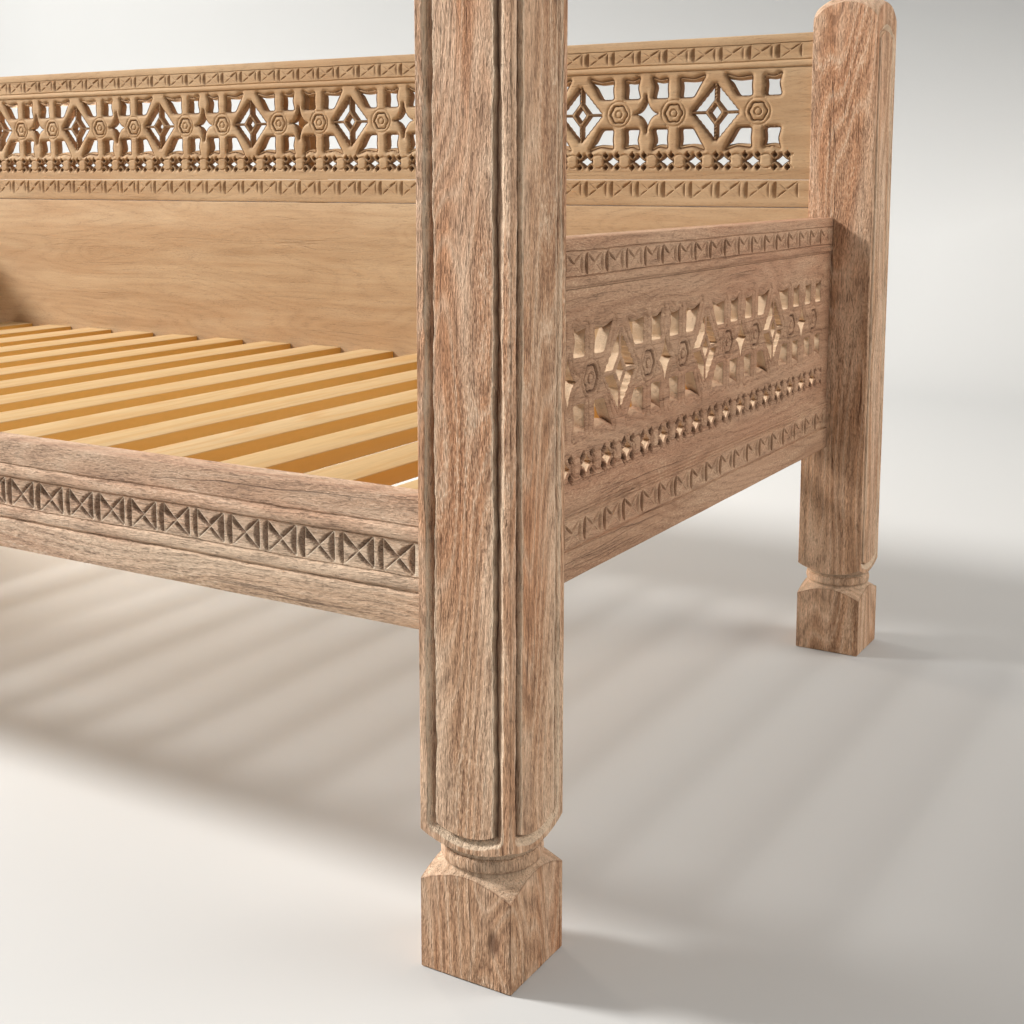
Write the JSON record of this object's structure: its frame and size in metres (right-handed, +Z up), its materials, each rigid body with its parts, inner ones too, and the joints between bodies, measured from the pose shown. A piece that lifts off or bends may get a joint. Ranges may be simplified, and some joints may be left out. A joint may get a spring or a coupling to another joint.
{
  "type": "carved daybed",
  "caption": "Carved hardwood daybed with square posts on turned necks, a tall pierced back, lower pierced ends, a low front rail and a slatted deck.",
  "frame": {"origin": "on the floor, under the middle of the bed's outline", "axes": "+X along the bed's length to the right seen from the front, +Y from the front to the back, +Z up"},
  "size_m": [2.21, 1.166, 1.02],
  "materials": {
    "post_wood": "bleached open-grained hardwood, dry and matt",
    "rail_wood": "bleached carved hardwood, dry and matt",
    "back_wood": "golden carved hardwood, dry and matt",
    "slat_wood": "planed pale pine, unvarnished",
    "peg_wood": "split hardwood pegs, unfinished",
    "screw_steel": "zinc-plated countersunk screws"
  },
  "bodies": {
    "root": {"back_board": "back_wood", "back_centre_batten": "back_wood", "back_lower_rail": "back_wood", "back_pierced_panel": "back_wood", "back_top_rail": "back_wood", "cleat_screw_back_left": "screw_steel", "cleat_screw_back_right": "screw_steel", "cleat_screw_front_left": "screw_steel", "cleat_screw_front_right": "screw_steel", "end_bottom_rail_left": "rail_wood", "end_bottom_rail_right": "rail_wood", "end_pierced_panel_left": "rail_wood", "end_pierced_panel_right": "rail_wood", "end_top_rail_left": "rail_wood", "end_top_rail_right": "rail_wood", "front_rail": "rail_wood", "peg_back_board_left": "peg_wood", "peg_back_board_right": "peg_wood", "peg_back_lower_rail_left": "peg_wood", "peg_back_lower_rail_right": "peg_wood", "peg_back_top_rail_left": "peg_wood", "peg_back_top_rail_right": "peg_wood", "peg_end_bottom_rail_back_left": "peg_wood", "peg_end_bottom_rail_back_right": "peg_wood", "peg_end_bottom_rail_front_left": "peg_wood", "peg_end_bottom_rail_front_right": "peg_wood", "peg_end_top_rail_back_left": "peg_wood", "peg_end_top_rail_back_right": "peg_wood", "peg_end_top_rail_front_left": "peg_wood", "peg_end_top_rail_front_right": "peg_wood", "peg_front_rail_lower_left": "peg_wood", "peg_front_rail_lower_right": "peg_wood", "peg_front_rail_upper_left": "peg_wood", "peg_front_rail_upper_right": "peg_wood", "post_back_left": "post_wood", "post_back_right": "post_wood", "post_front_left": "post_wood", "post_front_right": "post_wood", "slat_01": "slat_wood", "slat_02": "slat_wood", "slat_03": "slat_wood", "slat_04": "slat_wood", "slat_05": "slat_wood", "slat_06": "slat_wood", "slat_07": "slat_wood", "slat_08": "slat_wood", "slat_09": "slat_wood", "slat_10": "slat_wood", "slat_11": "slat_wood", "slat_12": "slat_wood", "slat_13": "slat_wood", "slat_14": "slat_wood", "slat_15": "slat_wood", "slat_16": "slat_wood", "slat_cleat_back": "slat_wood", "slat_cleat_front": "slat_wood"}
  },
  "joints": []
}
